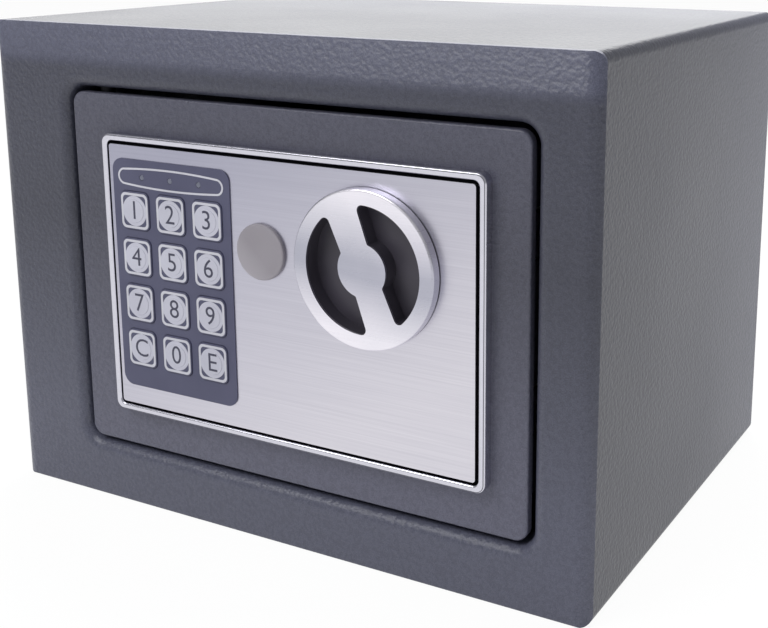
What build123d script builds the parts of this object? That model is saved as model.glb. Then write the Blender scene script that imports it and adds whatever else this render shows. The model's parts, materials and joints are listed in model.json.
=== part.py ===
from build123d import *
import os
from math import cos, radians, sin, sqrt

# A small steel safe deposit box with an electronic keypad lock.
#
# The steel cabinet is a folded shell with a pressed front frame and a back panel. The door is a
# flat plate that lies in the frame's opening and swings on two concealed pins at its left edge.
# Its front carries the lock panel: bezel, brushed face, keypad, round cap over the emergency key
# lock, and a knob with two finger pockets. Behind the plate the knob's drive arm slides a
# carriage with two bolts to the right, a solenoid's plunger drops into the carriage to lock it,
# and a folded cover hides the work and holds the batteries.
#
# Millimetres. +X is to the right as seen from the front, +Y into the box, +Z up. The origin is
# the middle of the cabinet's base. The model rests closed with its bolts drawn back.

os.makedirs("parts", exist_ok=True)

# ---------------------------------------------------------------- driving dimensions
# Cabinet
cabinet_depth = 170.0
frame_left = 33.2            # frame face beside the door opening
frame_right = 19.2
frame_top = 21.2
frame_bottom = 20.2
body_sheet = 1.5
body_edge_radius = 3.5
frame_sheet = 1.5
roll_radius = 6.0            # rolled left and right edges of the front frame
roll_angle = 60.0
frame_edge_radius = 0.5
frame_flange_depth = 12.0    # flange in the shell and lip round the opening
fold_radius = 0.5            # inside corners of folded flanges
lip_radius = 4.0             # curl of the frame into the door opening
weld_gap = 0.1
back_flange_depth = 9.0
anchor_hole_radius = 5.0
anchor_spacing = 120.0
back_anchor_height = 112.0
floor_anchor_setback = 20.0  # behind the middle of the cabinet
mat_thickness = 3.0
mat_margin = 2.0
mat_hole_margin = 2.5
mat_corner_radius = 2.0

# Door and hinge
door_width = 174.0
door_height = 125.0
door_sheet = 3.0
door_corner_radius = 4.5
door_edge_radius = 0.8
door_gap = 1.8
door_recess = 1.2
hinge_inset = 11.0           # pivot from the door's left edge
hinge_pin_radius = 2.5
hinge_pin_reach = 8.0        # pin beyond the door's edge
hinge_wall = 0.5             # block between the pin and the door plate
hinge_block_width = 8.0
hinge_block_height = 12.0
hinge_block_drop = 0.6       # block below the door's edge
hinge_block_radius = 1.5
hinge_bracket_width = 22.0
hinge_bracket_sheet = 2.0
pin_chamfer = 0.5
running_gap = 0.05

# Lock panel on the door
panel_offset_x = 1.7         # panel centre from the door centre
panel_offset_z = 0.8
panel_corner_radius = 3.3
panel_depth = 4.0
bezel_rail = 2.4
bezel_edge_radius = 0.8
bezel_window_radius = 2.0    # corners of the window round the face
face_groove = 1.0
face_recess = 0.2
face_sheet = 0.8
panel_stud_radius = 1.5
panel_stud_side = 30.0       # studs from the panel's left and right edges
panel_stud_edge = 5.4        # studs from its top and bottom edges
panel_nut_width = 5.5
panel_nut_height = 2.4
panel_stud_end = 1.0         # stud beyond its nut
tray_pocket_margin = 0.5     # overlay beyond the tray's pocket

# Keypad
overlay_margin_left = 1.6
overlay_margin_top = 4.5
overlay_margin_bottom = 6.9
overlay_radius = 4.0
overlay_film = 0.4
key_width = 12.1
key_height = 13.2
key_radius = 2.2
key_pitch_x = 15.3
key_pitch_z = 16.1
key_rows_count = 4
key_row_drop = 17.4          # first row below the overlay's top
key_row_foot = 14.1          # last row above the overlay's bottom
key_column_side = 9.3        # outer columns from the overlay's sides
key_stand = 0.5
key_crown_radius = 0.4
key_flange = 0.5
key_flange_sheet = 0.5
key_travel = 0.4
key_gap = 0.15
dome_radius = 4.0
dome_height = 0.3
board_sheet = 1.2
lamp_radius = 1.0
lamp_pitch = 12.0
lamp_drop = 5.9              # lamps below the overlay's top
lamp_crown_radius = 0.3

# Knob
knob_radius = 25.0
knob_from_right = 40.1       # knob axis from the panel's right edge
knob_from_top = 32.9
knob_stand = 3.8             # knob face proud of the panel face
knob_foot_gap = 0.4
knob_skin = 0.8
knob_wall = 1.2
knob_edge_radius = 0.7
pocket_radius = 20.2
pocket_floor = 1.2
pocket_corner_radius = 1.7
grip_hub_radius = 8.5
grip_waist_width = 9.4
grip_end_width = 11.2
grip_tilt = 21.5             # lean of the grip bar from upright, top to the left
cup_radius = 22.0
cup_hole_gap = 0.6
spindle_radius = 4.0
spindle_flat = 3.2           # half the distance across the spindle's flats
spindle_seat = 3.0           # spindle in the knob, in front of the pocket floor
clip_groove = 0.6            # groove below the spindle's flats
bush_wall = 2.0
bush_flange = 2.0
bush_flange_sheet = 1.2

# Emergency key lock and its cap
lock_from_keypad = 11.9      # lock axis from the keypad's right edge
lock_spacing = 39.8          # lock axis to the left of the knob axis
cap_radius = 9.2
cap_sheet = 1.3
cap_edge_radius = 0.5
cap_plug_radius = 7.9
cap_plug_depth = 1.8
cap_plug_gap = 0.15
cap_plug_wall = 1.0
barrel_head_radius = 7.8
barrel_head = 1.2
barrel_radius = 6.0
barrel_length = 10.0         # behind the door plate's front
barrel_nut_width = 15.0
barrel_nut_height = 3.0
plug_radius = 4.0
keyway_width = 1.4
keyway_height = 6.0
keyway_depth = 8.0
cam_sheet = 2.0
cam_width = 6.0
cam_hub_wall = 1.0
cam_overreach = 1.8          # cam's tip beyond the plunger

# Bolt work
bolt_radius = 7.5
bolt_length = 33.0
bolt_spacing = 56.0
bolt_lip_gap = 1.5           # between the frame's lip and the bolts
bolt_nose_radius = 1.0
bolt_inset = 3.0             # drawn back bolt from the door's edge
bolt_fork_depth = 12.0
bolt_fork_gap = 0.05
bolt_guide_gap = 0.1
rivet_radius = 1.5
drive_radius = 15.0          # drive pin from the knob axis
drive_swing = 35.0           # to each side of straight down
drive_pin_radius = 2.5
drive_slot_gap = 0.4
carriage_sheet = 2.0
carriage_post_width = 14.0
carriage_bar_height = 36.0
carriage_bar_drop = 5.4      # bar's top edge below the knob axis
stud_radius = 2.5
stud_slot_gap = 0.4
stud_head = 1.6
stud_head_rim = 1.5
guide_sheet = 1.5
guide_flange_height = 25.0
guide_flange_from_edge = 10.5
guide_margin = 3.0           # plate beyond the bolts and the solenoid
guide_left = 28.5            # guide plate's left edge from the knob axis
arm_sheet = 3.0
arm_hub_radius = 7.0
arm_end_radius = 4.5
arm_setback = 8.8            # behind the door plate
clip_sheet = 1.0
clip_radius = 6.0

# Solenoid
solenoid_offset = 17.0       # plunger to the left of the knob axis
solenoid_rise = 12.6         # frame's foot above the knob axis
solenoid_width = 18.0
solenoid_height = 19.0
solenoid_sheet = 1.5
solenoid_lip = 0.5           # frame beyond the coil
coil_radius = 7.0
bobbin_rim = 1.0
plunger_radius = 2.5
plunger_travel = 4.0
plunger_lift = 0.6           # raised plunger above the carriage
plunger_bore_gap = 0.3
collar_radius = 4.0
collar_height = 1.2
notch_depth = 4.4
notch_gap = 0.4
lift_pin_radius = 1.25
lift_pin_rise = 4.6
spring_wire = 0.6
spring_gap = 0.4
spring_turns = 4

# Inner cover and batteries
cover_sheet = 1.0
cover_left = 4.6             # cover's left wall from the pivot
cover_right = 7.0            # from the door's right edge
cover_margin = 6.0           # from the door's top and bottom edges
cover_bend_radius = 2.0
cover_bolt_gap = 3.5
bolt_window_gap = 0.8
post_radius = 3.5
post_margin_x = 8.0
post_margin_z = 5.0
screw_radius = 1.5
screw_head_radius = 3.2
screw_head_height = 1.8
screw_length = 8.0
screw_tip_gap = 1.0
screw_crown_radius = 0.8
cell_radius = 7.1
cell_length = 49.5
cell_nub_radius = 2.7
cell_nub_length = 1.0
cell_pitch = 15.0
cell_count = 4
battery_wall = 1.5
battery_end_gap = 1.0
battery_floor_gap = 0.3
battery_rise = 9.5           # box above the cover's bottom edge
battery_side_gap = 1.0
hatch_lip = 2.0
hatch_gap = 0.25
hatch_sheet = 1.5
hatch_corner_radius = 1.8
hatch_edge_radius = 0.6
control_width = 32.0
control_height = 30.0
control_sheet = 1.6
control_setback = 3.6
control_pillar_radius = 2.5
control_margin = 4.0
control_gap = 3.0
control_nut_gap = 0.6        # between the panel's nuts and the board's pillars
chip_size = 9.0
chip_sheet = 2.0
relay_width = 8.0
relay_height = 12.0
relay_depth = 5.0
reset_radius = 2.5
reset_stand = 2.5
reset_travel = 1.0
reset_gap = 0.2
reset_collar = 1.0
reset_crown_radius = 0.6
reset_rise = 6.0             # reset button above the control board's middle
reset_switch = 6.0
reset_seat = 3.0             # button's rear end in front of the cover

# ---------------------------------------------------------------- levels along Y
front_y = -cabinet_depth / 2
back_y = cabinet_depth / 2
roll_x = roll_radius * sin(radians(roll_angle))
shoulder_y = front_y + roll_radius * (1 - cos(radians(roll_angle)))
lip_end_y = front_y + frame_flange_depth
door_front_y = front_y + door_recess
door_back_y = door_front_y + door_sheet
pivot_y = door_back_y + hinge_wall + hinge_pin_radius
panel_front_y = door_front_y - panel_depth
face_front_y = panel_front_y + face_recess
face_back_y = face_front_y + face_sheet
overlay_front_y = face_front_y - overlay_film
key_front_y = overlay_front_y - key_stand
key_flange_y = face_front_y + key_gap
key_back_y = key_flange_y + key_flange_sheet
knob_front_y = face_front_y - knob_stand
knob_foot_y = face_front_y - knob_foot_gap
cup_back_y = door_front_y - knob_foot_gap
pocket_floor_y = cup_back_y - pocket_floor
guide_y = door_back_y + guide_sheet
arm_y = door_back_y + arm_setback
arm_back_y = arm_y + arm_sheet
bolt_y = lip_end_y + bolt_lip_gap + bolt_radius
carriage_front_y = bolt_y - carriage_sheet / 2
carriage_back_y = bolt_y + carriage_sheet / 2
cover_inner_y = bolt_y + bolt_radius + cover_bolt_gap
cover_back_y = cover_inner_y + cover_sheet

# ---------------------------------------------------------------- places in X and Z
opening_width = door_width + 2 * door_gap
opening_height = door_height + 2 * door_gap
opening_radius = door_corner_radius + door_gap
cabinet_width = frame_left + opening_width + frame_right
cabinet_height = frame_bottom + opening_height + frame_top
mid_z = cabinet_height / 2
door_center_x = (frame_left - frame_right) / 2
door_center_z = frame_bottom + opening_height / 2
door_left = door_center_x - door_width / 2
door_right = door_center_x + door_width / 2
door_bottom = door_center_z - door_height / 2
door_top = door_center_z + door_height / 2
pivot_x = door_left + hinge_inset
overlay_width = 2 * (key_column_side + key_pitch_x)
overlay_height = key_row_drop + (key_rows_count - 1) * key_pitch_z + key_row_foot
face_inset = bezel_rail + face_groove
keypad_right = face_inset + overlay_margin_left + overlay_width
panel_width = keypad_right + lock_from_keypad + lock_spacing + knob_from_right
panel_height = 2 * face_inset + overlay_margin_top + overlay_height + overlay_margin_bottom
panel_x = door_center_x + panel_offset_x
panel_z = door_center_z + panel_offset_z
face_width = panel_width - 2 * face_inset
face_height = panel_height - 2 * face_inset
board_pocket_width = overlay_width - 2 * tray_pocket_margin
board_pocket_height = overlay_height - 2 * tray_pocket_margin
overlay_x = panel_x - face_width / 2 + overlay_margin_left + overlay_width / 2
overlay_top = panel_z + face_height / 2 - overlay_margin_top
overlay_z = overlay_top - overlay_height / 2
knob_x = panel_x + panel_width / 2 - knob_from_right
knob_z = panel_z + panel_height / 2 - knob_from_top
lock_x = knob_x - lock_spacing
lock_z = knob_z
bolt_nose_x = door_right - bolt_inset
bolt_tail_x = bolt_nose_x - bolt_length
bolt_heights = [door_center_z - bolt_spacing / 2, door_center_z + bolt_spacing / 2]
bolt_throw = 2 * drive_radius * sin(radians(drive_swing))
drive_x = knob_x - drive_radius * sin(radians(drive_swing))
drive_z = knob_z - drive_radius * cos(radians(drive_swing))
bar_top = knob_z - carriage_bar_drop
bar_bottom = bar_top - carriage_bar_height
post_right = bolt_tail_x + carriage_sheet
post_left = post_right - carriage_post_width
plunger_x = knob_x - solenoid_offset
notch_width = 2 * (plunger_radius + notch_gap)
carriage_left = plunger_x - bolt_throw - notch_width / 2 - carriage_sheet
stud_slot_width = 2 * (stud_radius + stud_slot_gap)
stud_places = [
    (plunger_x, bar_bottom + 0.45 * carriage_bar_height),
    (post_right - 1.2 * stud_slot_width, bar_bottom + 0.17 * carriage_bar_height),
]
guide_left_x = knob_x - guide_left
guide_right_x = door_right - guide_flange_from_edge
solenoid_foot = knob_z + solenoid_rise
solenoid_top = solenoid_foot + solenoid_height
plunger_tip = bar_top + plunger_lift
cover_left_x = pivot_x + cover_left
cover_right_x = door_right - cover_right
cover_bottom = door_bottom + cover_margin
cover_top = door_top - cover_margin
cover_x = (cover_left_x + cover_right_x) / 2
cover_z = (cover_bottom + cover_top) / 2
battery_width = cell_length + cell_nub_length + 2 * battery_end_gap + 2 * battery_wall
battery_height = cell_count * cell_pitch + 2 * battery_wall
battery_x = cover_left_x + cover_sheet + battery_side_gap + battery_width / 2
battery_z = cover_bottom + battery_rise + battery_height / 2
cell_y = cover_inner_y - cell_radius - hatch_sheet
battery_floor_y = cell_y - cell_radius - battery_floor_gap
hatch_width = battery_width - 2 * battery_wall
hatch_height = battery_height - 2 * battery_wall
control_x = cover_left_x + post_margin_x + post_radius + control_gap + control_width / 2
control_z = cover_top - cover_sheet - control_height / 2 - control_margin
reset_x = control_x
reset_z = control_z + reset_rise
cam_length = plunger_x - lock_x + cam_overreach
anchor_places = [-anchor_spacing / 2, anchor_spacing / 2]


# ---------------------------------------------------------------- helpers
def facing(sketch, x, z, y_front, y_back):
    """Sketch drawn as seen from the front at (x, z), made into a slab between two Y levels."""
    plane = Plane(origin=(x, y_back, z), x_dir=(1, 0, 0), z_dir=(0, -1, 0))
    return extrude(plane * sketch, amount=y_back - y_front)


def disc(radius, x, z, y_front, y_back):
    """Round slab across Y."""
    return facing(Circle(radius), x, z, y_front, y_back)


def slab(width, height, x, z, y_front, y_back, radius=0.0):
    """Rectangular slab across Y with rounded corners."""
    outline = RectangleRounded(width, height, radius) if radius > 0 else Rectangle(width, height)
    return facing(outline, x, z, y_front, y_back)


def upright(radius, x, y, z_low, z_high):
    """Upright cylinder."""
    return extrude(Plane.XY.offset(z_low) * Pos(x, y) * Circle(radius), amount=z_high - z_low)


def lying(radius, y, z, x_low, x_high):
    """Cylinder along X."""
    plane = Plane(origin=(x_low, 0, 0), x_dir=(0, 1, 0), z_dir=(1, 0, 0))
    return extrude(plane * Pos(y, z) * Circle(radius), amount=x_high - x_low)


def block(x_low, x_high, y_low, y_high, z_low, z_high):
    """Box between limits."""
    center = ((x_low + x_high) / 2, (y_low + y_high) / 2, (z_low + z_high) / 2)
    return Pos(*center) * Box(x_high - x_low, y_high - y_low, z_high - z_low)


def front_edges(part, y):
    """Edges that lie in the plane at Y = y."""
    return part.edges().filter_by_position(Axis.Y, y - 0.001, y + 0.001)


def hexagon(width, x, z, y_front, y_back):
    """Hexagonal slab across Y, width across its flats."""
    return facing(RegularPolygon(width / sqrt(3), 6), x, z, y_front, y_back)


# ---------------------------------------------------------------- cabinet
def frame_nose():
    """Front 3 mm of the frame: rolled left and right edges, small radius at top and bottom."""
    half = cabinet_width / 2
    flat = half - roll_x
    depth = shoulder_y - front_y
    mid_x = flat + roll_radius * sin(radians(roll_angle / 2))
    mid_y = front_y + roll_radius * (1 - cos(radians(roll_angle / 2)))
    outline = (
        Line((-flat, front_y), (flat, front_y))
        + ThreePointArc((flat, front_y), (mid_x, mid_y), (half, shoulder_y))
        + Line((half, shoulder_y), (-half, shoulder_y))
        + ThreePointArc((-half, shoulder_y), (-mid_x, mid_y), (-flat, front_y))
    )
    rolled = extrude(make_face(outline), amount=cabinet_height)
    r = frame_edge_radius
    edge = block(-half, half, front_y, front_y + 2 * depth, 0, cabinet_height)
    across = front_edges(edge, front_y).filter_by(Axis.X)
    soft = fillet(across, r)
    corners = slab(cabinet_width, cabinet_height, 0, mid_z, front_y, shoulder_y, body_edge_radius)
    return rolled & soft & corners


def front_frame():
    """Pressed front: flat face, curled lip round the door opening, flange inside the shell."""
    flange_inset = body_sheet + weld_gap
    hollow_inset = flange_inset + frame_sheet
    corner = max(body_edge_radius - flange_inset, fold_radius)
    flange = slab(
        cabinet_width - 2 * flange_inset, cabinet_height - 2 * flange_inset,
        0, mid_z, shoulder_y, lip_end_y, corner,
    )
    hollow = slab(
        cabinet_width - 2 * hollow_inset, cabinet_height - 2 * hollow_inset,
        0, mid_z, front_y + frame_sheet, lip_end_y, fold_radius,
    )
    lip = slab(
        opening_width + 2 * frame_sheet, opening_height + 2 * frame_sheet,
        door_center_x, door_center_z, front_y + frame_sheet, lip_end_y,
        opening_radius + frame_sheet,
    )
    hollow = hollow - lip
    rim = front_edges(hollow, front_y + frame_sheet)
    inner_rim = [e for e in rim if on_opening(e, frame_sheet)]
    hollow = fillet(inner_rim, lip_radius - frame_sheet)
    opening = slab(
        opening_width, opening_height, door_center_x, door_center_z,
        front_y, lip_end_y, opening_radius,
    )
    frame = frame_nose() + flange - hollow - opening
    curl = [e for e in front_edges(frame, front_y) if on_opening(e, 0.0)]
    frame = fillet(curl, lip_radius)
    hole = hinge_pin_radius + running_gap
    return frame - upright(hole, pivot_x, pivot_y, 0.1 * mid_z, 1.9 * mid_z)


def on_opening(edge, offset):
    """True for an edge that lies on the door opening's outline, grown by offset."""
    size = edge.bounding_box()
    reach_x = opening_width / 2 + offset + 0.01
    reach_z = opening_height / 2 + offset + 0.01
    inside_x = abs(size.min.X - door_center_x) < reach_x and abs(size.max.X - door_center_x) < reach_x
    inside_z = abs(size.min.Z - door_center_z) < reach_z and abs(size.max.Z - door_center_z) < reach_z
    return inside_x and inside_z


def cabinet_shell():
    """Top, bottom and sides folded from one sheet, with two anchor holes in the floor."""
    outer = slab(cabinet_width, cabinet_height, 0, mid_z, shoulder_y, back_y, body_edge_radius)
    inner = slab(
        cabinet_width - 2 * body_sheet, cabinet_height - 2 * body_sheet,
        0, mid_z, shoulder_y, back_y, body_edge_radius - body_sheet,
    )
    shell = outer - inner
    for x in anchor_places:
        shell = shell - upright(anchor_hole_radius, x, floor_anchor_setback, -1, 2 * body_sheet)
    return shell


def back_panel():
    """Back plate with a flange all round, welded into the shell."""
    inset = body_sheet + weld_gap
    width = cabinet_width - 2 * inset
    height = cabinet_height - 2 * inset
    corner = max(body_edge_radius - inset, fold_radius)
    front = back_y - back_flange_depth
    panel = slab(width, height, 0, mid_z, front, back_y, corner)
    inside = slab(
        width - 2 * body_sheet, height - 2 * body_sheet,
        0, mid_z, front, back_y - body_sheet, fold_radius,
    )
    panel = panel - inside
    for x in anchor_places:
        panel = panel - disc(anchor_hole_radius, x, back_anchor_height, front, back_y + 1)
    return panel


def floor_mat():
    """Felt mat on the floor, cut out round the anchor holes."""
    half = cabinet_width / 2 - body_sheet - mat_margin
    front = front_y + frame_flange_depth + mat_margin
    back = back_y - back_flange_depth - mat_margin
    mat = block(-half, half, front, back, body_sheet, body_sheet + mat_thickness)
    for x in anchor_places:
        hole = anchor_hole_radius + mat_hole_margin
        mat = mat - upright(hole, x, floor_anchor_setback, 0, 3 * mat_thickness)
    corners = mat.edges().filter_by(Axis.Z)
    return fillet(corners, mat_corner_radius)


def hinge_bracket(z_low):
    """Reinforcing plate on the frame's lip that takes the hinge pin."""
    z_high = z_low + hinge_bracket_sheet
    half = hinge_bracket_width / 2
    y_low = front_y + lip_radius
    plate = block(pivot_x - half, pivot_x + half, y_low, lip_end_y, z_low, z_high)
    hole = hinge_pin_radius + running_gap
    return plate - upright(hole, pivot_x, pivot_y, z_low - 1, z_high + 1)


def upper_hinge_bracket():
    """Bracket on top of the opening's upper lip."""
    return hinge_bracket(door_top + door_gap + frame_sheet)


def lower_hinge_bracket():
    """Bracket under the opening's lower lip."""
    return hinge_bracket(door_bottom - door_gap - frame_sheet - hinge_bracket_sheet)


# ---------------------------------------------------------------- door
def panel_studs():
    """Places of the studs that hold the lock panel."""
    dx = panel_width / 2 - panel_stud_side
    dz = panel_height / 2 - panel_stud_edge
    return [(panel_x + sx * dx, panel_z + sz * dz) for sx in (-1, 1) for sz in (-1, 1)]


def door_plate():
    """Flat door with softened front edges and the holes for what passes through it."""
    plate = slab(
        door_width, door_height, door_center_x, door_center_z,
        door_front_y, door_back_y, door_corner_radius,
    )
    plate = fillet(front_edges(plate, door_front_y), door_edge_radius)
    plate = plate - disc(spindle_radius + bush_wall, knob_x, knob_z, door_front_y, door_back_y)
    plate = plate - disc(barrel_radius, lock_x, lock_z, door_front_y, door_back_y)
    for x, z in panel_studs():
        plate = plate - disc(panel_stud_radius, x, z, door_front_y, door_back_y)
    slot = SlotOverall(2 * dome_radius + key_pitch_x, 2 * dome_radius)
    cable_z = overlay_top - 1.5 * dome_radius
    return plate - facing(slot, overlay_x, cable_z, door_front_y, door_back_y)


def hinge_block(z_low):
    """Block behind a door corner that holds a hinge pin."""
    half = hinge_block_width / 2
    z_high = z_low + hinge_block_height
    depth = 2 * (hinge_wall + hinge_pin_radius) + hinge_wall
    body = block(pivot_x - half, pivot_x + half, door_back_y, door_back_y + depth, z_low, z_high)
    rear = body.edges().filter_by(Axis.Z).group_by(Axis.Y)[-1]
    body = fillet(rear, hinge_block_radius)
    return body - upright(hinge_pin_radius, pivot_x, pivot_y, z_low - 1, z_high + 1)


def hinge_blocks():
    """Both blocks."""
    high = hinge_block(door_top - hinge_block_drop - hinge_block_height)
    low = hinge_block(door_bottom + hinge_block_drop)
    return [high, low]


def hinge_pin(z_low, z_high):
    """Round pin with bevelled ends."""
    pin = upright(hinge_pin_radius, pivot_x, pivot_y, z_low, z_high)
    return chamfer(pin.edges().filter_by(GeomType.CIRCLE), pin_chamfer)


def upper_hinge_pin():
    """Pin that stands out of the door's top edge."""
    return hinge_pin(door_top - hinge_block_drop - hinge_block_height, door_top + hinge_pin_reach)


def lower_hinge_pin():
    """Pin that stands out of the door's bottom edge."""
    return hinge_pin(door_bottom - hinge_pin_reach, door_bottom + hinge_block_drop + hinge_block_height)


# ---------------------------------------------------------------- lock panel
def panel_bezel():
    """Bright moulded rim round the panel."""
    outer = slab(
        panel_width, panel_height, panel_x, panel_z, panel_front_y, door_front_y,
        panel_corner_radius,
    )
    inner = slab(
        panel_width - 2 * bezel_rail, panel_height - 2 * bezel_rail, panel_x, panel_z,
        panel_front_y, door_front_y, bezel_window_radius,
    )
    rim = outer - inner
    return fillet(front_edges(rim, panel_front_y), bezel_edge_radius)


def panel_tray():
    """Dark moulding behind the brushed face, with a pocket for the keypad's board."""
    width = panel_width - 2 * bezel_rail - 2 * running_gap
    height = panel_height - 2 * bezel_rail - 2 * running_gap
    tray = slab(
        width, height, panel_x, panel_z, face_back_y, door_front_y, bezel_window_radius,
    )
    pocket = slab(
        board_pocket_width, board_pocket_height, overlay_x, overlay_z,
        face_back_y, door_front_y,
    )
    tray = tray - pocket
    tray = tray - disc(cup_radius + cup_hole_gap, knob_x, knob_z, face_back_y, door_front_y)
    tray = tray - disc(cap_plug_radius + cap_plug_gap, lock_x, lock_z, face_back_y, door_front_y)
    nut_front = door_back_y + panel_nut_height
    for x, z in panel_studs():
        tray = tray + disc(panel_stud_radius, x, z, door_front_y, nut_front + panel_stud_end)
    return tray


def panel_face():
    """Brushed sheet with openings for keys, key lock and knob."""
    face = slab(
        face_width, face_height, panel_x, panel_z, face_front_y, face_back_y,
        max(bezel_window_radius - face_groove, fold_radius),
    )
    rows = key_rows()
    z_mid = (rows[0] + rows[-1]) / 2
    window_height = rows[0] - rows[-1] + key_height + 2 * key_flange + 2 * key_gap
    window_width = 2 * key_pitch_x + key_width + 2 * key_flange + 2 * key_gap
    face = face - slab(
        window_width, window_height, overlay_x, z_mid, face_front_y, face_back_y, fold_radius,
    )
    face = face - disc(cup_radius + cup_hole_gap, knob_x, knob_z, face_front_y, face_back_y)
    face = face - disc(cap_plug_radius + cap_plug_gap, lock_x, lock_z, face_front_y, face_back_y)
    for x in lamp_places():
        face = face - disc(lamp_radius + key_gap, x, overlay_top - lamp_drop, face_front_y, face_back_y)
    return face


def key_columns():
    """Centre of each key column."""
    return [overlay_x + (i - 1) * key_pitch_x for i in range(3)]


def key_rows():
    """Centre of each key row, top first."""
    return [overlay_top - key_row_drop - i * key_pitch_z for i in range(key_rows_count)]


def lamp_places():
    """Centre of each indicator lamp."""
    return [overlay_x + (i - 1) * lamp_pitch for i in range(3)]


def keypad_overlay():
    """Printed film over the keypad, with a window for each key and lamp."""
    film = slab(
        overlay_width, overlay_height, overlay_x, overlay_z, overlay_front_y, face_front_y,
        overlay_radius,
    )
    for x in key_columns():
        for z in key_rows():
            film = film - slab(
                key_width + 2 * key_gap, key_height + 2 * key_gap, x, z,
                overlay_front_y, face_front_y, key_radius + key_gap,
            )
    for x in lamp_places():
        film = film - disc(lamp_radius, x, overlay_top - lamp_drop, overlay_front_y, face_front_y)
    return film


def keypad_key(x, z):
    """Key with a crowned front and a flange that keeps it behind the film."""
    body = slab(key_width, key_height, x, z, key_front_y, key_flange_y, key_radius)
    body = fillet(front_edges(body, key_front_y), key_crown_radius)
    flange = slab(
        key_width + 2 * key_flange, key_height + 2 * key_flange, x, z,
        key_flange_y, key_back_y, key_radius,
    )
    return body + flange


def board_front():
    """Front of the keypad's board, behind the domes and the keys' travel."""
    return key_back_y + key_travel + key_gap + dome_height


def keypad_board():
    """Circuit board behind the keys, in the tray's pocket."""
    y = board_front()
    gap = 2 * key_gap
    return slab(
        board_pocket_width - gap, board_pocket_height - gap, overlay_x, overlay_z,
        y, y + board_sheet,
    )


def switch_domes():
    """Snap domes on the board, one under each key."""
    y = board_front()
    return [disc(dome_radius, x, z, y - dome_height, y) for x in key_columns() for z in key_rows()]


def indicator_lamps():
    """Three lamps that shine through the film."""
    z = overlay_top - lamp_drop
    lamps = [disc(lamp_radius, x, z, overlay_front_y, board_front()) for x in lamp_places()]
    return [fillet(front_edges(lamp, overlay_front_y), lamp_crown_radius) for lamp in lamps]


def panel_nuts():
    """Nuts on the tray's studs behind the door plate."""
    nuts = []
    for x, z in panel_studs():
        nut = hexagon(panel_nut_width, x, z, door_back_y, door_back_y + panel_nut_height)
        nuts.append(nut - disc(panel_stud_radius, x, z, door_back_y, door_back_y + panel_nut_height))
    return nuts


# ---------------------------------------------------------------- emergency key lock
def key_cover_cap():
    """Pull-off cap over the emergency key lock."""
    cap = disc(cap_radius, lock_x, lock_z, face_front_y - cap_sheet, face_front_y)
    cap = fillet(front_edges(cap, face_front_y - cap_sheet), cap_edge_radius)
    end_y = face_front_y + cap_plug_depth
    plug = disc(cap_plug_radius, lock_x, lock_z, face_front_y, end_y)
    hollow = disc(cap_plug_radius - cap_plug_wall, lock_x, lock_z, face_front_y, end_y)
    return cap + (plug - hollow)


def key_lock_barrel():
    """Threaded lock body through the door plate."""
    head_y = door_front_y - barrel_head
    end_y = door_front_y + barrel_length
    body = disc(barrel_head_radius, lock_x, lock_z, head_y, door_front_y)
    body = body + disc(barrel_radius, lock_x, lock_z, door_front_y, end_y)
    return body - disc(plug_radius + running_gap, lock_x, lock_z, head_y, end_y)


def key_lock_nut():
    """Nut that clamps the lock body to the door plate."""
    end_y = door_back_y + barrel_nut_height
    nut = hexagon(barrel_nut_width, lock_x, lock_z, door_back_y, end_y)
    return nut - disc(barrel_radius, lock_x, lock_z, door_back_y, end_y)


def cam_front():
    """Front of the cam, just behind the lock body."""
    return door_front_y + barrel_length + key_gap


def key_lock_plug():
    """Turning plug with its keyway and a tail for the cam."""
    head_y = door_front_y - barrel_head
    plug = disc(plug_radius, lock_x, lock_z, head_y, cam_front())
    square = Rectangle(plug_radius, plug_radius)
    tail = facing(square, lock_x, lock_z, cam_front(), cam_front() + cam_sheet)
    keyway = slab(keyway_width, keyway_height, lock_x, lock_z, head_y, head_y + keyway_depth)
    return plug + tail - keyway


def key_lock_cam():
    """Arm on the plug's tail that lifts the plunger when the key is turned."""
    y = cam_front()
    reach = Pos(0, -cam_length / 2) * Rectangle(cam_width, cam_length)
    outline = Circle(plug_radius + cam_hub_wall) + reach + Pos(0, -cam_length) * Circle(cam_width / 2)
    outline = outline - Rectangle(plug_radius, plug_radius)
    return facing(outline, lock_x, lock_z, y, y + cam_sheet)


# ---------------------------------------------------------------- knob
def grip_outline():
    """The two finger pockets: a disc less the flared grip bar and its hub."""
    flare = Polygon(
        (-grip_end_width / 2, pocket_radius), (-grip_waist_width / 2, 0),
        (-grip_end_width / 2, -pocket_radius), (grip_end_width / 2, -pocket_radius),
        (grip_waist_width / 2, 0), (grip_end_width / 2, pocket_radius), align=None,
    )
    pockets = Circle(pocket_radius) - flare - Circle(grip_hub_radius)
    outer = [v for v in pockets.vertices() if v.center().length > 0.8 * pocket_radius]
    pockets = fillet(outer, pocket_corner_radius)
    inner = [v for v in pockets.vertices() if abs(v.center().length - grip_hub_radius) < 0.01]
    pockets = fillet(inner, 0.8)
    return Rot(0, 0, grip_tilt) * pockets


def knob_ring():
    """Bright turned face with its rim, cut out over the finger pockets."""
    ring = disc(knob_radius, knob_x, knob_z, knob_front_y, knob_foot_y)
    ring = fillet(front_edges(ring, knob_front_y), knob_edge_radius)
    ring = ring - disc(
        knob_radius - knob_wall, knob_x, knob_z, knob_front_y + knob_skin, knob_foot_y,
    )
    return ring - facing(grip_outline(), knob_x, knob_z, knob_front_y, knob_foot_y)


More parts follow.
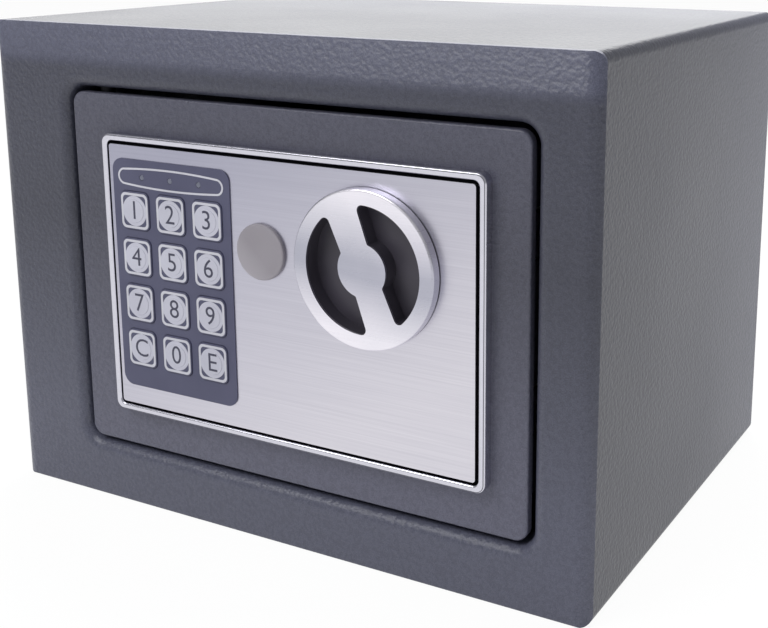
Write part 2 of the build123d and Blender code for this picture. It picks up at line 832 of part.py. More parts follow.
def knob_cup():
    """Dark moulded body with the two finger pockets and a boss for the spindle."""
    top_y = knob_front_y + knob_skin
    flange = disc(knob_radius - knob_wall - running_gap, knob_x, knob_z, top_y, knob_foot_y)
    barrel = disc(cup_radius, knob_x, knob_z, knob_foot_y, cup_back_y)
    cup = flange + barrel
    cup = cup - facing(grip_outline(), knob_x, knob_z, top_y, pocket_floor_y)
    seat = disc(spindle_radius, knob_x, knob_z, pocket_floor_y - spindle_seat, cup_back_y)
    return cup - seat


def spindle_section():
    """Round spindle with two flats."""
    return Circle(spindle_radius) & Rectangle(2 * spindle_flat, 2 * spindle_radius)


def knob_spindle():
    """Spindle from the knob through the door to the drive arm."""
    end_y = arm_back_y + 2 * clip_sheet
    flat_y = guide_y + bush_flange_sheet
    round_part = disc(spindle_radius, knob_x, knob_z, pocket_floor_y - spindle_seat, flat_y)
    flats = facing(spindle_section(), knob_x, knob_z, flat_y, end_y)
    groove = disc(spindle_radius, knob_x, knob_z, arm_back_y, arm_back_y + clip_sheet)
    core_radius = spindle_flat - clip_groove
    core = disc(core_radius, knob_x, knob_z, arm_back_y, arm_back_y + clip_sheet)
    return round_part + (flats - groove) + core


def knob_bush():
    """Flanged bush that carries the spindle in the door plate and guide."""
    outer = spindle_radius + bush_wall
    bush = disc(outer, knob_x, knob_z, door_front_y, guide_y)
    bush = bush + disc(outer + bush_flange, knob_x, knob_z, guide_y, guide_y + bush_flange_sheet)
    return bush - disc(
        spindle_radius + running_gap, knob_x, knob_z, door_front_y, guide_y + bush_flange_sheet,
    )


def drive_arm():
    """Arm on the spindle whose pin slides the carriage."""
    hub_y = guide_y + bush_flange_sheet + drive_slot_gap
    span = Polygon(
        (-arm_hub_radius, 0), (-arm_end_radius, -drive_radius),
        (arm_end_radius, -drive_radius), (arm_hub_radius, 0), align=None,
    )
    outline = Circle(arm_hub_radius) + span + Pos(0, -drive_radius) * Circle(arm_end_radius)
    lean = Rot(0, 0, -drive_swing)
    arm = facing(lean * outline, knob_x, knob_z, arm_y, arm_back_y)
    hub = disc(arm_hub_radius, knob_x, knob_z, hub_y, arm_y)
    bore = facing(spindle_section(), knob_x, knob_z, hub_y, arm_back_y)
    pin = disc(drive_pin_radius, drive_x, drive_z, arm_back_y, carriage_back_y + carriage_sheet)
    return arm + hub - bore + pin


def spindle_clip():
    """Retaining clip in the spindle's groove."""
    inner = spindle_flat - clip_groove
    mouth = Pos(0, clip_radius / 2) * Rectangle(1.6 * inner, clip_radius)
    ring = Circle(clip_radius) - Circle(inner) - mouth
    return facing(ring, knob_x, knob_z, arm_back_y, arm_back_y + clip_sheet)


# ---------------------------------------------------------------- bolt work
def bolt_guide():
    """Folded guide behind the door plate: a base and a flange with holes for the bolts."""
    z_low = bolt_heights[0] - bolt_radius - guide_margin
    z_high = bolt_heights[1] + bolt_radius + guide_margin
    base = block(guide_left_x, guide_right_x, door_back_y, guide_y, z_low, z_high)
    tower_right = plunger_x + solenoid_width / 2 + guide_margin
    tower = block(guide_left_x, tower_right, door_back_y, guide_y, z_high, solenoid_top)
    flange = block(
        guide_right_x - guide_sheet, guide_right_x, guide_y, guide_y + guide_flange_height,
        z_low, z_high,
    )
    guide = base + tower + flange
    hole = bolt_radius + bolt_guide_gap
    for z in bolt_heights:
        guide = guide - lying(hole, bolt_y, z, guide_right_x - guide_sheet, guide_right_x)
    guide = guide - disc(spindle_radius + bush_wall, knob_x, knob_z, door_back_y, guide_y)
    for x, z in panel_studs():
        guide = guide - disc(panel_nut_width, x, z, door_back_y, guide_y)
    for x, z in cover_posts():
        guide = guide - disc(post_radius + control_gap, x, z, door_back_y, guide_y)
    return guide


def guide_studs():
    """Headed studs on the guide that run in the carriage's slots."""
    studs = []
    for x, z in stud_places:
        head_y = carriage_back_y + key_gap
        stud = disc(stud_radius, x, z, guide_y, head_y)
        head = disc(stud_radius + stud_head_rim, x, z, head_y, head_y + stud_head)
        shoulder = disc(stud_radius + stud_head_rim, x, z, guide_y, carriage_front_y - key_gap)
        studs.append(stud + head + shoulder)
    return studs


def carriage_outline():
    """Carriage seen from the front: a bar with slots and notches, and an upright post."""
    bar = Pos((carriage_left + post_right) / 2, (bar_top + bar_bottom) / 2) * Rectangle(
        post_right - carriage_left, carriage_bar_height,
    )
    reach = bolt_radius
    post_low = bolt_heights[0] - reach
    post_high = bolt_heights[1] + reach
    post = Pos((post_left + post_right) / 2, (post_low + post_high) / 2) * Rectangle(
        carriage_post_width, post_high - post_low,
    )
    shape = bar + post
    for z in bolt_heights:
        ear_right = bolt_tail_x + bolt_fork_depth - bolt_nose_radius
        ear = Pos((post_right + ear_right) / 2, z) * Rectangle(ear_right - post_right, 1.4 * reach)
        shape = shape + ear
    slot_width = 2 * (drive_pin_radius + drive_slot_gap)
    drive_low = knob_z - drive_radius
    drive_high = drive_z
    slot_length = drive_high - drive_low + slot_width + 2 * drive_slot_gap
    drive_slot = Pos(drive_x, (drive_low + drive_high) / 2) * Rot(0, 0, 90) * SlotOverall(
        slot_length, slot_width,
    )
    shape = shape - drive_slot
    for x, z in stud_places:
        length = bolt_throw + stud_slot_width
        shape = shape - Pos(x - bolt_throw / 2, z) * SlotOverall(length, stud_slot_width)
    notch = Rectangle(notch_width, notch_depth)
    lock_notch = Pos(plunger_x - bolt_throw, bar_top - notch_depth / 2) * notch
    ramp = 2 * notch_gap
    relief_left = plunger_x - notch_width / 2
    relief_right = plunger_x + notch_width / 2
    relief = Polygon(
        (relief_left - ramp, bar_top), (relief_left, bar_top - notch_depth),
        (relief_right, bar_top - notch_depth), (relief_right + ramp + notch_depth, bar_top),
        align=None,
    )
    return shape - lock_notch - relief


def bolt_carriage():
    """Sliding plate that joins the bolts to the drive pin."""
    plate = facing(carriage_outline(), 0, 0, carriage_front_y, carriage_back_y)
    for z in bolt_heights:
        x = bolt_tail_x + bolt_fork_depth / 2
        plate = plate - disc(rivet_radius, x, z, carriage_front_y, carriage_back_y)
    return plate


def door_bolt(z):
    """Round bolt with a forked tail for the carriage."""
    bolt = lying(bolt_radius, bolt_y, z, bolt_tail_x, bolt_nose_x)
    nose = bolt.edges().filter_by(GeomType.CIRCLE).sort_by(Axis.X)[-1]
    bolt = chamfer(nose, bolt_nose_radius)
    half = carriage_sheet / 2 + bolt_fork_gap
    fork = block(
        bolt_tail_x, bolt_tail_x + bolt_fork_depth, bolt_y - half, bolt_y + half,
        z - bolt_radius, z + bolt_radius,
    )
    rivet = disc(
        rivet_radius, bolt_tail_x + bolt_fork_depth / 2, z,
        bolt_y - bolt_radius, bolt_y + bolt_radius,
    )
    return bolt - fork - rivet


def upper_bolt():
    """Upper bolt."""
    return door_bolt(bolt_heights[1])


def lower_bolt():
    """Lower bolt."""
    return door_bolt(bolt_heights[0])


def bolt_rivets():
    """Rivets through the bolts' forks."""
    x = bolt_tail_x + bolt_fork_depth / 2
    half = sqrt(bolt_radius ** 2 - rivet_radius ** 2) - running_gap
    return [disc(rivet_radius, x, z, bolt_y - half, bolt_y + half) for z in bolt_heights]


# ---------------------------------------------------------------- solenoid
def solenoid_frame():
    """Folded frame on the guide that holds the coil."""
    left = plunger_x - solenoid_width / 2
    right = plunger_x + solenoid_width / 2
    depth = bolt_y + coil_radius + solenoid_lip
    sheet = solenoid_sheet
    back = block(left, right, guide_y, guide_y + sheet, solenoid_foot, solenoid_top)
    foot = block(left, right, guide_y, depth, solenoid_foot, solenoid_foot + sheet)
    head = block(left, right, guide_y, depth, solenoid_top - sheet, solenoid_top)
    bore = upright(plunger_radius + plunger_bore_gap, plunger_x, bolt_y, solenoid_foot - 1, solenoid_top + 1)
    return back + foot + head - bore


def solenoid_coil():
    """Wound coil on its bobbin."""
    sheet = solenoid_sheet
    low = solenoid_foot + sheet
    high = solenoid_top - sheet
    coil = upright(coil_radius - bobbin_rim, plunger_x, bolt_y, low, high)
    coil = coil + upright(coil_radius, plunger_x, bolt_y, low, low + sheet)
    coil = coil + upright(coil_radius, plunger_x, bolt_y, high - sheet, high)
    return coil - upright(plunger_radius + plunger_bore_gap, plunger_x, bolt_y, low, high)


def plunger_collar():
    """Height of the underside of the plunger's collar, which the spring presses."""
    return lock_z + lift_pin_rise + lift_pin_radius + key_gap


def solenoid_plunger():
    """Plunger with a collar for the spring and a pin for the key lock's cam."""
    high = solenoid_top - 2 * solenoid_sheet - plunger_travel
    rod = upright(plunger_radius, plunger_x, bolt_y, plunger_tip, high)
    rod = chamfer(rod.edges().filter_by(GeomType.CIRCLE).sort_by(Axis.Z)[0], pin_chamfer)
    low = plunger_collar()
    collar = upright(collar_radius, plunger_x, bolt_y, low, low + collar_height)
    pin_z = lock_z + lift_pin_rise
    pin = disc(lift_pin_radius, plunger_x, pin_z, cam_front() - notch_gap, bolt_y)
    return rod + collar + pin


def plunger_spring():
    """Coil spring between the solenoid's foot and the plunger's collar."""
    radius = plunger_radius + spring_gap + spring_wire / 2
    low = plunger_collar() + collar_height + spring_wire / 2
    high = solenoid_foot - spring_wire / 2
    pitch = (high - low) / spring_turns
    path = Helix(pitch=pitch, height=high - low, radius=radius, center=(plunger_x, bolt_y, low))
    start = Plane(origin=path @ 0, z_dir=path % 0)
    return sweep(start * Circle(spring_wire / 2), path=path)


# ---------------------------------------------------------------- inner cover, batteries, board
def cover_posts():
    """Places of the cover's corner posts."""
    left = cover_left_x + post_margin_x
    right = cover_right_x - post_margin_x
    low = cover_bottom + post_margin_z
    high = cover_top - post_margin_z
    return [(left, low), (left, high), (right, low), (right, high)]


def inner_cover():
    """Folded cover over the lock, open to the door, with battery hatch and bolt windows."""
    width = cover_right_x - cover_left_x
    height = cover_top - cover_bottom
    outer = slab(width, height, cover_x, cover_z, door_back_y, cover_back_y, cover_bend_radius)
    outer = fillet(front_edges(outer, cover_back_y), cover_bend_radius)
    inner = slab(
        width - 2 * cover_sheet, height - 2 * cover_sheet, cover_x, cover_z,
        door_back_y, cover_inner_y, cover_bend_radius - cover_sheet,
    )
    cover = outer - inner
    cover = cover - slab(
        hatch_width + 2 * hatch_gap, hatch_height + 2 * hatch_gap, battery_x, battery_z,
        cover_inner_y, cover_back_y, hatch_corner_radius + hatch_gap,
    )
    window = bolt_radius + bolt_window_gap
    for z in bolt_heights:
        cover = cover - lying(window, bolt_y, z, cover_right_x - 2 * cover_sheet, cover_right_x)
    for x, z in cover_posts():
        cover = cover - disc(screw_radius + reset_gap, x, z, cover_inner_y, cover_back_y)
    return cover - disc(reset_radius + reset_gap, reset_x, reset_z, cover_inner_y, cover_back_y)


def cover_standoffs():
    """Tapped posts between the door plate and the cover."""
    posts = []
    for x, z in cover_posts():
        post = disc(post_radius, x, z, door_back_y, cover_inner_y)
        posts.append(post - disc(screw_radius, x, z, cover_inner_y - screw_length, cover_inner_y))
    return posts


def cover_screws():
    """Screws that hold the cover to its posts."""
    screws = []
    for x, z in cover_posts():
        shank = disc(
            screw_radius, x, z, cover_inner_y - screw_length + screw_tip_gap, cover_back_y,
        )
        head = disc(screw_head_radius, x, z, cover_back_y, cover_back_y + screw_head_height)
        head = fillet(front_edges(head, cover_back_y + screw_head_height), screw_crown_radius)
        screws.append(shank + head)
    return screws


def battery_box():
    """Moulded tray for the cells, open towards the hatch."""
    outer_y = battery_floor_y - battery_wall
    box = slab(battery_width, battery_height, battery_x, battery_z, outer_y, cover_inner_y)
    inside = slab(
        hatch_width, hatch_height, battery_x, battery_z, battery_floor_y, cover_inner_y,
    )
    return box - inside


def cell_heights():
    """Axis height of each cell."""
    first = battery_z - (cell_count - 1) * cell_pitch / 2
    return [first + i * cell_pitch for i in range(cell_count)]


def battery_cells():
    """Four AA cells, alternate ways round."""
    cells = []
    y = battery_floor_y + cell_radius
    for i, z in enumerate(cell_heights()):
        way = 1 if i % 2 == 0 else -1
        tail = battery_x - way * (cell_length + cell_nub_length) / 2
        can_end = tail + way * cell_length
        nub_end = can_end + way * cell_nub_length
        can = lying(cell_radius, y, z, min(tail, can_end), max(tail, can_end))
        nub = lying(cell_nub_radius, y, z, min(can_end, nub_end), max(can_end, nub_end))
        cells.append(can + nub)
    return cells


def battery_cover():
    """Hatch over the cells, pulled off inwards."""
    plate = slab(
        hatch_width, hatch_height, battery_x, battery_z, cover_inner_y, cover_back_y,
        hatch_corner_radius,
    )
    rim = slab(
        hatch_width + 2 * hatch_lip, hatch_height + 2 * hatch_lip, battery_x, battery_z,
        cover_back_y, cover_back_y + hatch_sheet, hatch_corner_radius + hatch_lip,
    )
    rim = fillet(front_edges(rim, cover_back_y + hatch_sheet), hatch_edge_radius)
    return plate + rim


def control_pillars():
    """Places of the board's pillars: the lower pair at its foot, the upper pair below the nuts."""
    dx = control_width / 2 - control_margin
    low = control_z - control_height / 2 + control_margin
    nut_z = max(z for x, z in panel_studs())
    high = nut_z - panel_nut_width / sqrt(3) - control_nut_gap - control_pillar_radius
    return [(control_x + sx * dx, z) for sx in (-1, 1) for z in (low, high)]


def control_board():
    """Control board on moulded pillars, with its chips and the reset switch."""
    y = door_back_y + control_setback
    board = slab(control_width, control_height, control_x, control_z, y, y + control_sheet)
    for x, z in control_pillars():
        board = board + disc(control_pillar_radius, x, z, door_back_y, y)
    top = y + control_sheet
    chip = slab(chip_size, chip_size, control_x - 0.3 * control_width, control_z, top, top + chip_sheet)
    relay = slab(
        relay_width, relay_height, control_x + 0.3 * control_width, control_z,
        top, top + relay_depth,
    )
    switch_end = reset_back() - reset_travel - reset_gap
    switch = slab(reset_switch, reset_switch, reset_x, reset_z, top, switch_end)
    return board + chip + relay + switch


def reset_back():
    """Rear end of the reset button."""
    return cover_inner_y - reset_seat


def reset_button():
    """Code reset button that shows through the cover."""
    end_y = cover_back_y + reset_stand
    button = disc(reset_radius, reset_x, reset_z, reset_back(), end_y)
    button = fillet(front_edges(button, end_y), reset_crown_radius)
    collar_end = reset_back() + reset_collar
    return button + disc(reset_radius + reset_collar, reset_x, reset_z, reset_back(), collar_end)


# ---------------------------------------------------------------- export
nodes = {
    "cabinet_shell": cabinet_shell, "front_frame": front_frame, "back_panel": back_panel,
    "floor_mat": floor_mat, "upper_hinge_bracket": upper_hinge_bracket,
    "lower_hinge_bracket": lower_hinge_bracket, "door_plate": door_plate,
    "hinge_blocks": hinge_blocks, "upper_hinge_pin": upper_hinge_pin,
    "lower_hinge_pin": lower_hinge_pin, "panel_bezel": panel_bezel, "panel_tray": panel_tray,
    "panel_face": panel_face, "keypad_overlay": keypad_overlay, "keypad_board": keypad_board,
    "switch_domes": switch_domes, "indicator_lamps": indicator_lamps, "panel_nuts": panel_nuts,
    "key_lock_barrel": key_lock_barrel, "key_lock_nut": key_lock_nut,
    "key_lock_plug": key_lock_plug, "key_lock_cam": key_lock_cam, "key_cover_cap": key_cover_cap,
    "knob_bush": knob_bush, "knob_ring": knob_ring, "knob_cup": knob_cup,
    "knob_spindle": knob_spindle, "drive_arm": drive_arm, "spindle_clip": spindle_clip,
    "bolt_guide": bolt_guide, "guide_studs": guide_studs, "bolt_carriage": bolt_carriage,
    "upper_bolt": upper_bolt, "lower_bolt": lower_bolt, "bolt_rivets": bolt_rivets,
    "solenoid_frame": solenoid_frame, "solenoid_coil": solenoid_coil,
    "solenoid_plunger": solenoid_plunger, "plunger_spring": plunger_spring,
    "inner_cover": inner_cover, "cover_standoffs": cover_standoffs, "cover_screws": cover_screws,
    "battery_box": battery_box, "battery_cells": battery_cells, "battery_cover": battery_cover,
    "control_board": control_board, "reset_button": reset_button,
}
key_names = ["1", "2", "3", "4", "5", "6", "7", "8", "9", "c", "0", "e"]


def build():
    """Write one STEP file for each node."""
    for name, make in nodes.items():
        shape = make()
        if isinstance(shape, list):
            shape = Compound(children=shape)
        export_step(shape, f"parts/{name}.step")
    places = [(x, z) for z in key_rows() for x in key_columns()]
    for label, (x, z) in zip(key_names, places):
        export_step(keypad_key(x, z), f"parts/key_{label}.step")


build()
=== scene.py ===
import json
import math

import bmesh
import bpy
from mathutils import Euler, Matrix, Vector

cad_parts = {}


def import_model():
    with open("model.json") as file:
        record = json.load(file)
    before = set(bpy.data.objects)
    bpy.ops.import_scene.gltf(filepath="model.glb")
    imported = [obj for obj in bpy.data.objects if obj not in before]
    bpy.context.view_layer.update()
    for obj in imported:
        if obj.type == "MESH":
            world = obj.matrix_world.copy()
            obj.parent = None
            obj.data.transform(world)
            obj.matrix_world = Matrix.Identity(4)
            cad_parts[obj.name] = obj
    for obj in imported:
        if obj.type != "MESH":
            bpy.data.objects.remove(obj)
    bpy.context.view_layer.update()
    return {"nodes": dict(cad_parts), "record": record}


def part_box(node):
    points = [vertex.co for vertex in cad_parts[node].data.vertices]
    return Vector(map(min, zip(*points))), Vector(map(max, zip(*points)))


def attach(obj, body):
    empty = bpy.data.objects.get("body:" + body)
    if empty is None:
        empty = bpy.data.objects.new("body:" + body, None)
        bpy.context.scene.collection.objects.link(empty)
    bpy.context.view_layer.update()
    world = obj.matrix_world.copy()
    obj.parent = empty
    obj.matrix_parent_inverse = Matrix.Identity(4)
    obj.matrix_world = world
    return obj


# Looks of the safe deposit box: a finish for every solid of the frame, the keypad's print, the
# fine painted dark reflection line in the bezel, and the studio. Metres, in the frame's own axes:
# +X right, +Y into the box, +Z up. Colours are linear.

MM = 0.001

# ---------------------------------------------------------------- view of the photograph
# Focal length and principal point in pixels, sensor in millimetres, turn in degrees.
IMAGE_WIDTH = 768
IMAGE_HEIGHT = 628
FOCAL_PIXELS = 1250.0
PRINCIPAL_POINT = (461.0, 199.0)
SENSOR_WIDTH = 36.0
CAMERA_PLACE = (0.2400, -0.3937, 0.2032)
CAMERA_TURN = (77.529, -0.081, 28.564)
CLIP_START = 0.01

# ---------------------------------------------------------------- paint
# A pebble is the scale of the grain's noise: bumps per metre.
BODY_PAINT = (0.078, 0.082, 0.120)
BODY_PAINT_LIGHT = (0.118, 0.123, 0.172)
# The front frame wears the cabinet's paint; its lighter values here are painted light.
FRONT_PAINT = (0.108, 0.113, 0.166)
FRONT_PAINT_LIGHT = (0.165, 0.172, 0.239)
DOOR_PAINT = (0.104, 0.105, 0.150)
DOOR_PAINT_LIGHT = (0.150, 0.152, 0.210)
PEBBLE = 780
COAT_ROUGHNESS = 0.36
INNER_PEBBLE = 800
INNER_ROUGHNESS = 0.50

# Tones follow how the photograph's light falls off: (place in metres, share of the colour), over
# the depth on the cabinet, and over the height on the front and the door.
DEPTH = (0, 1, 0)
HEIGHT = (0, 0, 1)
BODY_TONES = ((-0.085, 0.45), (-0.040, 0.52), (0.010, 0.64), (0.050, 0.82), (0.085, 1.0))
FRONT_TONES = (
    (0.0, 0.80), (0.030, 0.79), (0.066, 0.60), (0.105, 0.42), (0.133, 0.47), (0.155, 0.47),
    (0.159, 0.88), (0.170, 1.0),
)
DOOR_TONES = ((0.028, 1.0), (0.050, 0.92), (0.105, 0.56), (0.135, 0.68), (0.158, 0.80))

# The front's top band leans back very slightly: by one slope more from each of these distances
# below its top edge.
LEAN_SLOPE = -0.07
LEAN_STARTS = (14.5 * MM, 13.5 * MM, 12.5 * MM, 11.5 * MM)

# ---------------------------------------------------------------- other colours
WHITE = (1, 1, 1)
FELT = (0.020, 0.021, 0.024)
FELT_LIGHT = (0.050, 0.052, 0.058)
BLACK_OXIDE = (0.020, 0.020, 0.023)
STEEL = (0.45, 0.45, 0.46)
ZINC = (0.56, 0.57, 0.55)
BRIGHT = (0.66, 0.66, 0.68)
# The face's two tones are painted light: darker at its upper left, lighter towards its lower right.
FACE_METAL = (0.75, 0.73, 0.79)
FACE_METAL_PAINTED_SHADE = (0.47, 0.47, 0.57)
RIM_CHROME = (0.66, 0.655, 0.73)
# Dark metal of the line in the bezel: a painted dark reflection.
RIM_PAINTED_REFLECTION = (0.16, 0.16, 0.19)
# The knob's two colours are a painted reflection: lighter above and below its middle, darker across
# it.
KNOB_METAL = (0.93, 0.90, 0.97)
KNOB_METAL_PAINTED_SHADE = (0.49, 0.49, 0.57)
CUP_PLASTIC = (0.046, 0.041, 0.056)
# Black plastic, made darker still and without sheen: painted shade in the groove round the lock
# panel's face.
TRAY_BLACK_AND_SHADE = (0.003, 0.003, 0.004)
FILM = (0.074, 0.076, 0.142)
FILM_LIGHT = (0.090, 0.092, 0.164)
PRINT = (0.68, 0.68, 0.75)
DISC_PRINT = (0.62, 0.62, 0.72)
PRINT_SHADE = 0.92
DIGIT = (0.055, 0.055, 0.095)
CAP = (0.450, 0.425, 0.465)
# Painted shade over the cap, darker from its lower left corner towards its upper right.
CAP_PAINTED_SHADE = (0.72, 0.71, 0.72)
LAMP = (0.13, 0.14, 0.20)
BRASS = (0.62, 0.45, 0.18)
BOARD = (0.018, 0.130, 0.050)
BOARD_LIGHT = (0.026, 0.160, 0.062)
BOARD_TRACK = (0.060, 0.250, 0.095)
COIL = (0.55, 0.36, 0.04)
CELL = (0.045, 0.050, 0.060)
CELL_END = 2.0 * MM
CELL_END_EDGE = 0.2 * MM
RED = (0.42, 0.02, 0.02)

# ---------------------------------------------------------------- keypad print
# Each key carries an outline, inside it a disc that the outline cuts off, a dome on the disc and a
# character on the dome. The print keeps clear of the key's hidden flange and of its edge.
KEYS = "123456789c0e"
PRINT_PROUD = 0.10 * MM
KEY_FLANGE = 0.5 * MM
KEY_PRINT_SIDE = 0.30 * MM
KEY_PRINT_END = 0.55 * MM
KEY_LINE = 0.85 * MM
KEY_CORNER = 1.9 * MM
KEY_INNER_CORNER = 1.39 * MM
KEY_DISC = 5.15 * MM
KEY_DISC_PROUD = 0.09 * MM
KEY_DOME = 4.0 * MM
KEY_DOME_RISE = 0.16 * MM
DIGIT_SIZE = 9.0 * MM
DIGIT_DEPTH = 0.02 * MM
DIGIT_THINNING = 0.03 * MM
WINDOW_WIDTH = 44.4 * MM
WINDOW_MIDDLE = 7.3 * MM
WINDOW_END = 2.8 * MM
WINDOW_LINE = 0.65 * MM
LOOP_POINTS = 96

# ---------------------------------------------------------------- painted dark reflection in the bezel
# A dark line between two insets from the bezel's edge, sunk just under its front: a painted reflection
# in the chrome.
PANEL_CORNER = 3.3 * MM
DARK_LINE_INSET = 0.42 * MM
DARK_LINE_WIDTH = 0.28 * MM
DARK_LINE_BACK = 0.20 * MM
DARK_LINE_FRONT = 0.01 * MM

# ---------------------------------------------------------------- studio
FLOOR_REACH = 6.0
FLOOR_DROP = 0.2 * MM
FLOOR_GREY = (0.90, 0.90, 0.90)
FLOOR_WHITE_SHARE = 0.92
SHOWN_WHITE = 1.03
SKY = (0.97, 0.98, 1.0)
SKY_STRENGTH = 0.36
# Square lamps: name, place, the point it faces, side and watts.
LAMPS = (
    ("key_light", (-0.5, -1.0, 1.1), (0, -0.05, 0.08), 0.8, 9.0),
    ("top_light", (0.05, 0.45, 0.95), (0, 0.05, 0.17), 0.6, 6.0),
    ("back_light", (-0.85, 1.35, 0.75), (0, 0, 0.17), 1.5, 12.5),
    ("fill_light", (1.2, 0.9, 0.5), (0.1, 0, 0.08), 0.9, 2.2),
)


# ---------------------------------------------------------------- node helpers
def empty_tree(owner, output_kind):
    """Empty node tree of a material or world; returns the tree and its new output node."""
    owner.use_nodes = True
    tree = owner.node_tree
    tree.nodes.clear()
    return tree, tree.nodes.new(output_kind)


def feed(tree, node, inputs):
    """Fill a node's inputs: sockets are linked, plain values are set."""
    for key, source in inputs.items():
        if isinstance(source, bpy.types.NodeSocket):
            tree.links.new(source, node.inputs[key])
        else:
            node.inputs[key].default_value = source


def add(tree, kind, inputs, **settings):
    """New node with its settings and its inputs."""
    node = tree.nodes.new(kind)
    for name, value in settings.items():
        setattr(node, name, value)
    feed(tree, node, inputs)
    return node


def new_material(name):
    """Empty node material with a Principled shader; returns material, tree and shader."""
    material = bpy.data.materials.new(name)
    tree, output = empty_tree(material, "ShaderNodeOutputMaterial")
    shader = tree.nodes.new("ShaderNodeBsdfPrincipled")
    feed(tree, output, {"Surface": shader.outputs["BSDF"]})
    return material, tree, shader


def place(tree, scale=(1, 1, 1)):
    """Object coordinates in metres, stretched by scale."""
    coordinates = tree.nodes.new("ShaderNodeTexCoord")
    inputs = {"Vector": coordinates.outputs["Object"], "Scale": scale}
    return add(tree, "ShaderNodeMapping", inputs).outputs["Vector"]


def noise(tree, vector, scale, detail=2.0, roughness=0.5):
    """Noise value on a vector."""
    inputs = {"Vector": vector, "Scale": scale, "Detail": detail, "Roughness": roughness}
    return add(tree, "ShaderNodeTexNoise", inputs).outputs["Fac"]


def ramp(tree, value, low, high, at=(0.35, 0.65)):
    """Two colours blended over a range of the value."""
    node = add(tree, "ShaderNodeValToRGB", {"Fac": value})
    for stop, position, color in zip(node.color_ramp.elements, at, (low, high)):
        stop.position = position
        stop.color = (*color, 1)
    return node.outputs["Color"]


def span(tree, value, low, high, source=(0.0, 1.0), clamp=False):
    """Value mapped from its source range to low..high."""
    inputs = {
        "Value": value, "From Min": source[0], "From Max": source[1], "To Min": low, "To Max": high,
    }
    return add(tree, "ShaderNodeMapRange", inputs, clamp=clamp).outputs["Result"]


def calculate(tree, operation, first, second=0.0):
    """Math on a socket and a second socket or number."""
    return add(tree, "ShaderNodeMath", {0: first, 1: second}, operation=operation).outputs[0]


def mix_colors(tree, blend, factor, first, second):
    """Two colours mixed or multiplied."""
    inputs = {"Factor": factor, 6: first, 7: second}
    return add(tree, "ShaderNodeMix", inputs, data_type="RGBA", blend_type=blend).outputs[2]


def multiply(tree, first, *others):
    """Product of two or more colours."""
    for other in others:
        first = mix_colors(tree, "MULTIPLY", 1.0, first, other)
    return first


def bump(tree, heights):
    """Normal after chained bump maps: a list of (height, distance in metres, strength)."""
    normal = {}
    for height, distance, strength in heights:
        inputs = {"Height": height, "Distance": distance, "Strength": strength, **normal}
        normal = {"Normal": add(tree, "ShaderNodeBump", inputs).outputs["Normal"]}
    return normal["Normal"]


def along(tree, direction, low, high):
    """0 at a place low and 1 at a place high, along a direction of the frame, and so beyond."""
    axis = Vector(direction)
    dot = add(tree, "ShaderNodeVectorMath", {0: place(tree), 1: axis}, operation="DOT_PRODUCT")
    ends = (axis.dot(Vector(low)), axis.dot(Vector(high)))
    return span(tree, dot.outputs["Value"], 0.0, 1.0, ends)


def rise(tree, direction, start, slope):
    """Height in metres: zero before a distance along a direction, then climbing by a slope."""
    reach = along(tree, direction, start * Vector(direction), (start + 1) * Vector(direction))
    return span(tree, calculate(tree, "MAXIMUM", reach, 0.0), 0.0, slope)


def painted_shade_over(tree, axis, tones):
    """Painted light and shade: a grey tone along an axis of the frame, from a rising list of (place in
    metres, value).
    """
    low, high = tones[0][0], tones[-1][0]
    reach = along(tree, axis, low * Vector(axis), high * Vector(axis))
    node = add(tree, "ShaderNodeValToRGB", {"Fac": reach})
    stops = node.color_ramp.elements
    for at, value in tones[1:-1]:
        stops.new((at - low) / (high - low)).color = (value, value, value, 1)
    for stop, value in ((stops[0], tones[0][1]), (stops[-1], tones[-1][1])):
        stop.color = (value, value, value, 1)
    return node.outputs["Color"]


def toned(color, share):
    """Colour times a share, 1 at most."""
    return tuple(min(share * c, 1) for c in color)


# ---------------------------------------------------------------- finishes
def powder_coat(name, dark, light, pebble=PEBBLE, roughness=COAT_ROUGHNESS, folds=(), tones=(),
                axis=HEIGHT):
    """Baked powder coat: pebbled, finely speckled, with soft folds and painted light and shade as a
    tone along an axis.
    """
    material, tree, shader = new_material(name)
    vector = place(tree)
    speckle = noise(tree, vector, 2600, 2.0, 0.6)
    grain = noise(tree, vector, pebble, 1.0, 0.4)
    drift = noise(tree, vector, 14)
    shade = ramp(tree, grain, (0.88, 0.88, 0.885), WHITE, (0.40, 0.56))
    color = multiply(tree, ramp(tree, speckle, dark, light), shade)
    # Painted light and shade: the tone along the axis darkens the coat where less light falls.
    if tones:
        color = multiply(tree, color, painted_shade_over(tree, axis, tones))
    heights = [(grain, 0.30 * MM, 0.8), (speckle, 0.05 * MM, 0.20)]
    heights += [(rise(tree, *fold), 1.0, 1.0) for fold in folds]
    feed(tree, shader, {
        "Base Color": color,
        "Roughness": span(tree, drift, roughness - 0.04, roughness + 0.06),
        "Specular IOR Level": 0.5,
        "Normal": bump(tree, heights),
    })
    return material


def metal(name, color, roughness, stretch=(1, 1, 1), scale=900, depth=0.02 * MM, dark=0.88):
    """Worked metal: marks stretched along one direction, in colour, roughness and bump."""
    material, tree, shader = new_material(name)
    marks = noise(tree, place(tree, stretch), scale, 3.0, 0.6)
    feed(tree, shader, {
        "Base Color": ramp(tree, marks, toned(color, dark), color),
        "Roughness": span(tree, marks, roughness - 0.05, roughness + 0.07),
        "Metallic": 1.0,
        "Normal": bump(tree, [(marks, depth, 0.3)]),
    })
    return material


